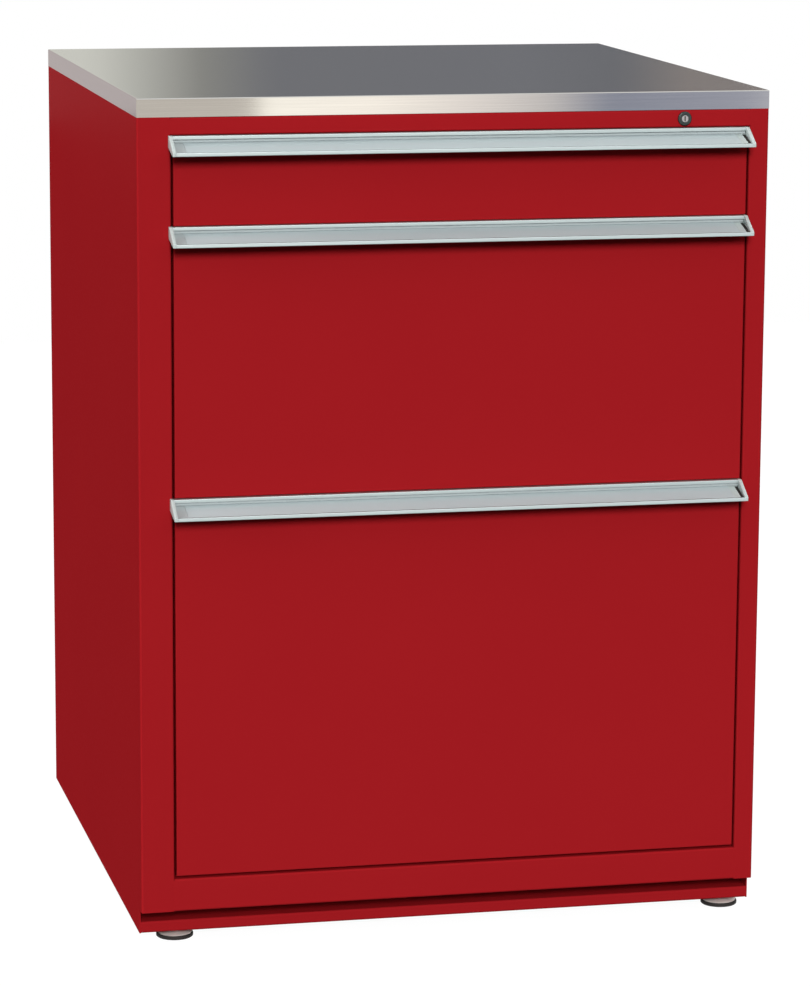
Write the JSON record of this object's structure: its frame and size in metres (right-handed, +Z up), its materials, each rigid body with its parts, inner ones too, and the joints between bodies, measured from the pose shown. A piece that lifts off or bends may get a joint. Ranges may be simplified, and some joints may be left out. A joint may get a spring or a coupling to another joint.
{
  "type": "tool cabinet",
  "caption": "Free-standing red steel tool cabinet with flush drawers on telescopic runners, full-width silver pull handles, a stainless worktop, a cam lock and levelling feet.",
  "frame": {"origin": "on the floor, at the middle of the part's box in plan, handles included", "axes": "the drawers open towards -Y, +X is to the right seen from the front, +Z is up"},
  "size_m": [0.762, 0.798, 1.016],
  "materials": {
    "red_powder_coat": "semi-gloss",
    "grey_powder_coat": "satin",
    "stainless": "brushed",
    "aluminium": "satin anodised",
    "cap_plastic": "satin",
    "label": "matte",
    "zinc_plate": "zinc plated",
    "lock_nickel": "polished",
    "lock_bezel": "dark chrome",
    "foot_steel": "satin nickel",
    "board": "raw",
    "bearing_plastic": "satin"
  },
  "bodies": {
    "cabinet": {"left_side_panel": "red_powder_coat", "right_side_panel": "red_powder_coat", "back_panel": "red_powder_coat", "floor_panel": "red_powder_coat", "top_panel": "red_powder_coat", "top_rail": "red_powder_coat", "bottom_rail": "red_powder_coat", "plinth_channels": "red_powder_coat", "runner_posts": "zinc_plate", "worktop_skin": "stainless", "worktop_core": "board", "worktop_screws": "zinc_plate", "lock_cylinder": "lock_bezel", "lock_nut": "zinc_plate", "lock_rod_hangers": "zinc_plate", "lock_bar_studs": "zinc_plate", "top_fixed_runners": "zinc_plate", "middle_fixed_runners": "zinc_plate", "bottom_fixed_runners": "zinc_plate"},
    "top_drawer": {"top_drawer_front": "red_powder_coat", "top_drawer_box": "grey_powder_coat", "top_handle": "aluminium", "top_handle_caps": "cap_plastic", "top_label_strip": "label", "top_handle_screws": "zinc_plate", "top_drawer_catch": "zinc_plate", "top_drawer_runners": "zinc_plate"},
    "top_runner": {"top_middle_runners": "zinc_plate", "top_runner_bearings": "bearing_plastic"},
    "middle_drawer": {"middle_drawer_front": "red_powder_coat", "middle_drawer_box": "grey_powder_coat", "middle_handle": "aluminium", "middle_handle_caps": "cap_plastic", "middle_label_strip": "label", "middle_handle_screws": "zinc_plate", "middle_drawer_catch": "zinc_plate", "middle_drawer_runners": "zinc_plate"},
    "middle_runner": {"middle_middle_runners": "zinc_plate", "middle_runner_bearings": "bearing_plastic"},
    "bottom_drawer": {"bottom_drawer_front": "red_powder_coat", "bottom_drawer_box": "grey_powder_coat", "bottom_handle": "aluminium", "bottom_handle_caps": "cap_plastic", "bottom_label_strip": "label", "bottom_handle_screws": "zinc_plate", "bottom_drawer_catch": "zinc_plate", "bottom_drawer_runners": "zinc_plate"},
    "bottom_runner": {"bottom_middle_runners": "zinc_plate", "bottom_runner_bearings": "bearing_plastic"},
    "lock": {"lock_plug": "lock_nickel", "lock_rod": "zinc_plate"},
    "lock_bar": {"lock_bar": "zinc_plate"},
    "front_left_foot": {"front_left_foot_pad": "foot_steel", "front_left_foot_stem": "zinc_plate"},
    "front_right_foot": {"front_right_foot_pad": "foot_steel", "front_right_foot_stem": "zinc_plate"},
    "rear_left_foot": {"rear_left_foot_pad": "foot_steel", "rear_left_foot_stem": "zinc_plate"},
    "rear_right_foot": {"rear_right_foot_pad": "foot_steel", "rear_right_foot_stem": "zinc_plate"}
  },
  "joints": [
    {"name": "top_drawer_slide", "type": "slide", "parent": "cabinet", "child": "top_drawer", "axis": [0, -1, 0], "range_m": [0, 0.64]},
    {"name": "top_runner_slide", "type": "slide", "parent": "cabinet", "child": "top_runner", "axis": [0, -1, 0], "range_m": [0, 0.32]},
    {"name": "middle_drawer_slide", "type": "slide", "parent": "cabinet", "child": "middle_drawer", "axis": [0, -1, 0], "range_m": [0, 0.64]},
    {"name": "middle_runner_slide", "type": "slide", "parent": "cabinet", "child": "middle_runner", "axis": [0, -1, 0], "range_m": [0, 0.32]},
    {"name": "bottom_drawer_slide", "type": "slide", "parent": "cabinet", "child": "bottom_drawer", "axis": [0, -1, 0], "range_m": [0, 0.64]},
    {"name": "bottom_runner_slide", "type": "slide", "parent": "cabinet", "child": "bottom_runner", "axis": [0, -1, 0], "range_m": [0, 0.32]},
    {"name": "lock_turn", "type": "hinge", "parent": "cabinet", "child": "lock", "pos_m": [0.276, -0.363, 0.9835], "axis": [0, 1, 0], "range_deg": [0, 90]},
    {"name": "lock_bar_slide", "type": "slide", "parent": "cabinet", "child": "lock_bar", "axis": [-1, 0, 0], "range_m": [0, 0.01273]},
    {"name": "front_left_foot_level", "type": "slide", "parent": "cabinet", "child": "front_left_foot", "axis": [0, 0, -1], "range_m": [0, 0.007]},
    {"name": "front_right_foot_level", "type": "slide", "parent": "cabinet", "child": "front_right_foot", "axis": [0, 0, -1], "range_m": [0, 0.007]},
    {"name": "rear_left_foot_level", "type": "slide", "parent": "cabinet", "child": "rear_left_foot", "axis": [0, 0, -1], "range_m": [0, 0.007]},
    {"name": "rear_right_foot_level", "type": "slide", "parent": "cabinet", "child": "rear_right_foot", "axis": [0, 0, -1], "range_m": [0, 0.007]}
  ],
  "couplings": [
    {"joint": "top_runner_slide", "follows": "top_drawer_slide", "ratio": 0.5},
    {"joint": "middle_runner_slide", "follows": "middle_drawer_slide", "ratio": 0.5},
    {"joint": "bottom_runner_slide", "follows": "bottom_drawer_slide", "ratio": 0.5},
    {"joint": "lock_turn", "follows": "lock_bar_slide", "rad_per_m": 123.41}
  ]
}
